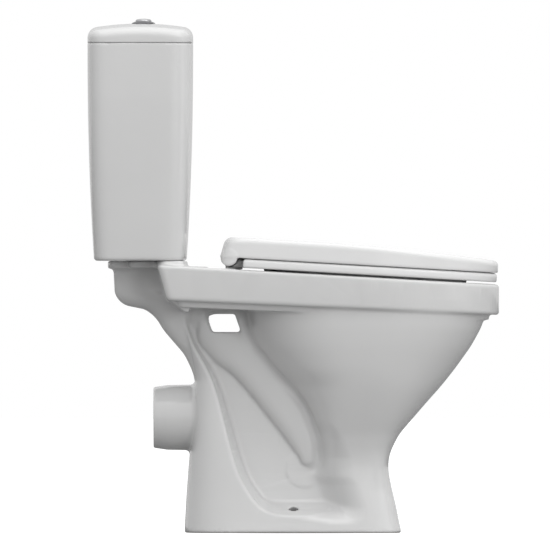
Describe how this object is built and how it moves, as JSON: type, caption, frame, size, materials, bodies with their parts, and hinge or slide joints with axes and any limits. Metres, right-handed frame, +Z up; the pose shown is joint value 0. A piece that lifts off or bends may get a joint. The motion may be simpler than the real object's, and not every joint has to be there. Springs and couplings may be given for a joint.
{
  "type": "close coupled toilet",
  "caption": "Close coupled toilet: ceramic pan with horizontal outlet and open trapway sides, cistern with dual push button, hinged seat and lid.",
  "frame": {"origin": "on the floor, under the middle of the toilet's box", "axes": "+Z up; the toilet faces -Y; +X to the side that the fill valve is on"},
  "size_m": [0.37, 0.6576, 0.8218],
  "materials": {
    "glazed_ceramic": "gloss",
    "seat_plastic": "gloss",
    "valve_plastic": "satin",
    "dark_plastic": "satin",
    "red_plastic": "satin",
    "rubber": "matte",
    "buffer_rubber": "matte",
    "brass": "satin",
    "steel": "satin",
    "chrome": "polished"
  },
  "bodies": {
    "root": {"pan": "glazed_ceramic", "cistern": "glazed_ceramic", "coupling_gasket": "rubber", "flush_valve_backnut": "valve_plastic", "flush_valve_seal": "rubber", "flush_valve_base": "valve_plastic", "flush_valve_body": "valve_plastic", "fill_valve_body": "valve_plastic", "fill_valve_seal": "rubber", "fill_valve_backnut": "valve_plastic", "fill_valve_cap": "dark_plastic", "coupling_bolt_left": "brass", "coupling_rubber_washer_left": "rubber", "coupling_steel_washer_left": "steel", "coupling_wing_nut_left": "brass", "hinge_base_left": "seat_plastic", "hinge_pin_left": "steel", "hinge_bolt_left": "steel", "hinge_rubber_washer_left": "rubber", "hinge_wing_nut_left": "valve_plastic", "coupling_bolt_right": "brass", "coupling_rubber_washer_right": "rubber", "coupling_steel_washer_right": "steel", "coupling_wing_nut_right": "brass", "hinge_base_right": "seat_plastic", "hinge_pin_right": "steel", "hinge_bolt_right": "steel", "hinge_rubber_washer_right": "rubber", "hinge_wing_nut_right": "valve_plastic"},
    "seat": {"seat_ring": "seat_plastic", "ring_buffer_front_left": "buffer_rubber", "ring_buffer_front_right": "buffer_rubber", "ring_buffer_rear_left": "buffer_rubber", "ring_buffer_rear_right": "buffer_rubber"},
    "lid": {"seat_lid": "seat_plastic", "lid_buffer_left": "buffer_rubber", "lid_buffer_right": "buffer_rubber"},
    "cistern_top": {"cistern_lid": "glazed_ceramic", "button_housing": "chrome", "button_nut": "valve_plastic", "full_flush_spring": "steel", "half_flush_spring": "steel"},
    "full_button": {"full_flush_button": "chrome", "full_flush_push_rod": "valve_plastic"},
    "half_button": {"half_flush_button": "chrome", "half_flush_push_rod": "valve_plastic"},
    "flush_lift": {"overflow_tube": "red_plastic", "flush_seal": "rubber"},
    "fill_float": {"fill_valve_float": "dark_plastic"}
  },
  "joints": [
    {"name": "seat_hinge", "type": "hinge", "parent": "root", "child": "seat", "pos_m": [0, 0.1032, 0.44], "axis": [-1, 0, 0], "range_deg": [0, 95]},
    {"name": "lid_hinge", "type": "hinge", "parent": "seat", "child": "lid", "pos_m": [0, 0.1032, 0.44], "axis": [1, 0, 0], "range_deg": [-95, 0]},
    {"name": "cistern_lid_lift", "type": "slide", "parent": "root", "child": "cistern_top", "axis": [0, 0, 1], "range_m": [0, 0.08]},
    {"name": "full_button_press", "type": "slide", "parent": "cistern_top", "child": "full_button", "axis": [0, 0, -1], "range_m": [0, 0.006], "stiffness_N_per_m": 150, "springref_m": -0.004, "deforming": ["full_flush_spring"]},
    {"name": "half_button_press", "type": "slide", "parent": "cistern_top", "child": "half_button", "axis": [0, 0, -1], "range_m": [0, 0.006], "stiffness_N_per_m": 150, "springref_m": -0.004, "deforming": ["half_flush_spring"]},
    {"name": "flush_valve_lift", "type": "slide", "parent": "root", "child": "flush_lift", "axis": [0, 0, 1], "range_m": [0, 0.024]},
    {"name": "fill_float_rise", "type": "slide", "parent": "root", "child": "fill_float", "axis": [0, 0, 1], "range_m": [0, 0.03]}
  ],
  "couplings": [
    {"joint": "flush_valve_lift", "follows": "full_button_press", "ratio": 4}
  ]
}
